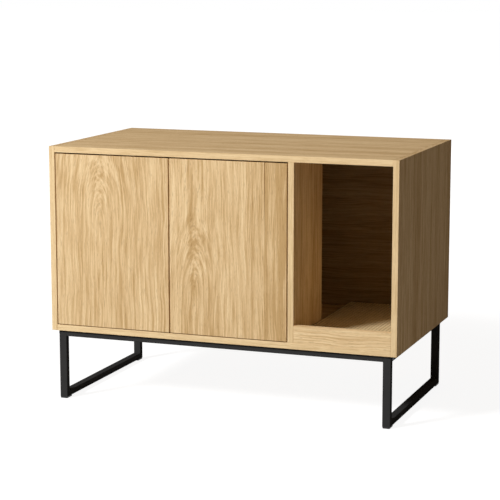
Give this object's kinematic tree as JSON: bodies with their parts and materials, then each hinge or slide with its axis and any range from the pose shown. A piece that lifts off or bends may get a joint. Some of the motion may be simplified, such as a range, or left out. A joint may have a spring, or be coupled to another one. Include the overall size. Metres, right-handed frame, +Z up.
{
  "type": "cat litter box cabinet",
  "caption": "Low oak-laminate cabinet with two push-to-open doors over a litter chamber, an open niche with a mat and a side passage, on a black tube-frame base.",
  "frame": {"origin": "on the floor under the middle of the cabinet", "axes": "+X to the right seen from the front, +Y towards the back, +Z up"},
  "size_m": [0.9, 0.5, 0.643],
  "materials": {
    "oak_laminate": "light oak melamine laminate, matt, fine vertical or lengthways grain",
    "printed_hardboard": "oak-printed hardboard, matt",
    "sisal_mat": "woven sisal",
    "black_powder_coat": "fine-textured matt black powder coat",
    "black_plastic": "moulded, matt",
    "black_oxide_steel": "black oxide",
    "zinc_die_cast": "as cast, tumbled",
    "zinc_plated_steel": "bright zinc plated",
    "beech": "fluted, bare",
    "nickel_plated_steel": "nickel plated, satin",
    "grey_plastic": "moulded, matt",
    "white_plastic": "moulded, smooth"
  },
  "bodies": {
    "cabinet": {"back_panel": "printed_hardboard", "bottom_panel": "oak_laminate", "cam_bolts": "zinc_plated_steel", "cam_locks": "zinc_die_cast", "divider_panel": "oak_laminate", "foot_pads": "black_plastic", "frame_screws": "black_oxide_steel", "front_rail": "black_powder_coat", "hinge_arm_screws": "zinc_plated_steel", "hinge_plate_screws": "zinc_plated_steel", "latch_housings": "grey_plastic", "latch_screws": "zinc_plated_steel", "left_hinge_arms": "nickel_plated_steel", "left_hinge_plates": "nickel_plated_steel", "left_leg_frame": "black_powder_coat", "left_side_panel": "oak_laminate", "niche_sill": "oak_laminate", "rail_bolts": "black_oxide_steel", "rail_end_plugs": "black_plastic", "rear_rail": "black_powder_coat", "right_hinge_arms": "nickel_plated_steel", "right_hinge_plates": "nickel_plated_steel", "right_leg_frame": "black_powder_coat", "right_side_panel": "oak_laminate", "scratching_mat": "sisal_mat", "top_panel": "oak_laminate", "wooden_dowels": "beech"},
    "left_door": {"left_door_panel": "oak_laminate", "left_hinge_cups": "nickel_plated_steel", "left_hinge_pins": "nickel_plated_steel", "left_cup_screws": "zinc_plated_steel", "left_strike_plate": "nickel_plated_steel", "left_strike_screw": "zinc_plated_steel"},
    "right_door": {"right_door_panel": "oak_laminate", "right_hinge_cups": "nickel_plated_steel", "right_hinge_pins": "nickel_plated_steel", "right_cup_screws": "zinc_plated_steel", "right_strike_plate": "nickel_plated_steel", "right_strike_screw": "zinc_plated_steel"},
    "left_plunger": {"left_latch_plunger": "white_plastic", "left_latch_magnet": "nickel_plated_steel"},
    "right_plunger": {"right_latch_plunger": "white_plastic", "right_latch_magnet": "nickel_plated_steel"}
  },
  "joints": [
    {"name": "left_door_swing", "type": "hinge", "parent": "cabinet", "child": "left_door", "pos_m": [-0.4163, -0.243, 0.41], "axis": [0, 0, -1], "range_deg": [0, 95]},
    {"name": "right_door_swing", "type": "hinge", "parent": "cabinet", "child": "right_door", "pos_m": [0.1593, -0.243, 0.41], "axis": [0, 0, 1], "range_deg": [0, 95]},
    {"name": "left_latch_press", "type": "slide", "parent": "cabinet", "child": "left_plunger", "axis": [0, 1, 0], "range_m": [0, 0.0025], "stiffness_N_per_m": 400, "springref_m": -0.003},
    {"name": "right_latch_press", "type": "slide", "parent": "cabinet", "child": "right_plunger", "axis": [0, 1, 0], "range_m": [0, 0.0025], "stiffness_N_per_m": 400, "springref_m": -0.003}
  ]
}
